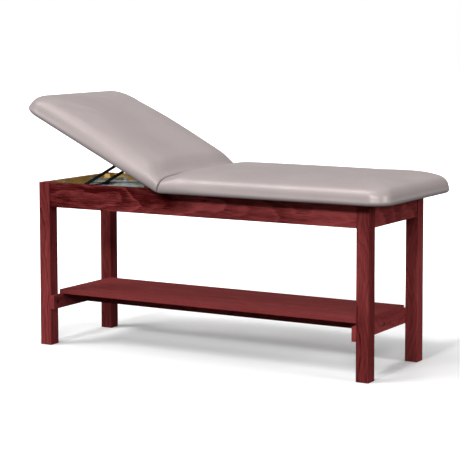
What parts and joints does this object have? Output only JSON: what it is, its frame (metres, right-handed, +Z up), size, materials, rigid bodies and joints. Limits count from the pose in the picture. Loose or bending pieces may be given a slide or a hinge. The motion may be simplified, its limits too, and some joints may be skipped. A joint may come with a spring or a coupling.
{
  "type": "treatment table",
  "caption": "Wooden treatment table with a padded top, a lift-up backrest held by a sliding prop, and a storage shelf between the legs.",
  "frame": {"origin": "on the floor, under the middle of the table's box with the backrest raised as in the picture", "axes": "+X along the table towards the foot end, +Y towards the rear long side, +Z up"},
  "size_m": [1.7494, 0.686, 1.1105],
  "materials": {
    "stained_wood": "satin lacquer over a dark cherry stain",
    "plain_wood": "bare",
    "plywood": "bare, sanded",
    "zinc_steel": "zinc plated",
    "black_steel": "satin black",
    "black_bolt": "black oxide",
    "grey_vinyl": "soft satin grain",
    "foam": "open cell",
    "guide_plastic": "moulded nylon"
  },
  "bodies": {
    "frame": {"angle_bracket_front_far": "zinc_steel", "angle_bracket_front_near": "zinc_steel", "angle_bracket_rear_far": "zinc_steel", "angle_bracket_rear_near": "zinc_steel", "angle_bracket_screws": "zinc_steel", "apron_front": "stained_wood", "apron_left_end": "stained_wood", "apron_rear": "stained_wood", "apron_right_end": "stained_wood", "beam_bolts": "black_bolt", "corner_bolts": "zinc_steel", "corner_nuts": "zinc_steel", "corner_plate_front_left": "zinc_steel", "corner_plate_front_right": "zinc_steel", "corner_plate_rear_left": "zinc_steel", "corner_plate_rear_right": "zinc_steel", "corner_plate_screws": "zinc_steel", "cross_rail_dowels": "plain_wood", "guide_cross_rail": "plain_wood", "hinge_cross_rail": "plain_wood", "hinge_leaf_fixed": "zinc_steel", "hinge_pin": "zinc_steel", "hinge_screws_fixed": "zinc_steel", "leg_front_left": "stained_wood", "leg_front_right": "stained_wood", "leg_rear_left": "stained_wood", "leg_rear_right": "stained_wood", "leg_section_board": "plywood", "leg_section_cover": "grey_vinyl", "leg_section_foam": "foam", "leg_section_squashed_edge": "grey_vinyl", "lower_rail_left": "stained_wood", "lower_rail_right": "stained_wood", "prop_guide_front": "black_steel", "prop_guide_rear": "black_steel", "prop_guide_screws": "zinc_steel", "rail_bolts": "black_bolt", "shelf": "stained_wood", "shelf_beam": "stained_wood", "shelf_dowels": "plain_wood"},
    "backrest": {"backrest_board": "plywood", "backrest_cover": "grey_vinyl", "backrest_foam": "foam", "backrest_squashed_edge": "grey_vinyl", "hinge_leaf_moving": "zinc_steel", "hinge_screws_moving": "zinc_steel", "prop_bracket_front": "black_steel", "prop_bracket_rear": "black_steel", "prop_bracket_screws": "zinc_steel", "prop_pivot_pins": "black_steel"},
    "prop": {"prop_arm_front": "black_steel", "prop_arm_rear": "black_steel", "prop_foot_rod": "black_steel"},
    "guide_shoe_front": {"guide_shoe_front": "guide_plastic"},
    "guide_shoe_rear": {"guide_shoe_rear": "guide_plastic"}
  },
  "joints": [
    {"name": "backrest_hinge", "type": "hinge", "parent": "frame", "child": "backrest", "pos_m": [-0.17778, 0, 0.721], "axis": [0, 1, 0], "range_deg": [-25.8, 39.2], "deforming": ["leg_section_squashed_edge", "backrest_squashed_edge"]},
    {"name": "prop_pivot", "type": "hinge", "parent": "backrest", "child": "prop", "pos_m": [-0.4668, 0, 0.84628], "axis": [0, 1, 0], "range_deg": [-78.4, 51.6]},
    {"name": "front_shoe_pivot", "type": "hinge", "parent": "prop", "child": "guide_shoe_front", "pos_m": [-0.74114, 0, 0.69148], "axis": [0, 1, 0], "range_deg": [-25.8, 39.2]},
    {"name": "rear_shoe_pivot", "type": "hinge", "parent": "prop", "child": "guide_shoe_rear", "pos_m": [-0.74114, 0, 0.69148], "axis": [0, 1, 0], "range_deg": [-25.8, 39.2]}
  ],
  "couplings": [
    {"joint": "prop_pivot", "follows": "backrest_hinge", "ratio": -2},
    {"joint": "front_shoe_pivot", "follows": "backrest_hinge", "ratio": 1},
    {"joint": "rear_shoe_pivot", "follows": "backrest_hinge", "ratio": 1}
  ]
}
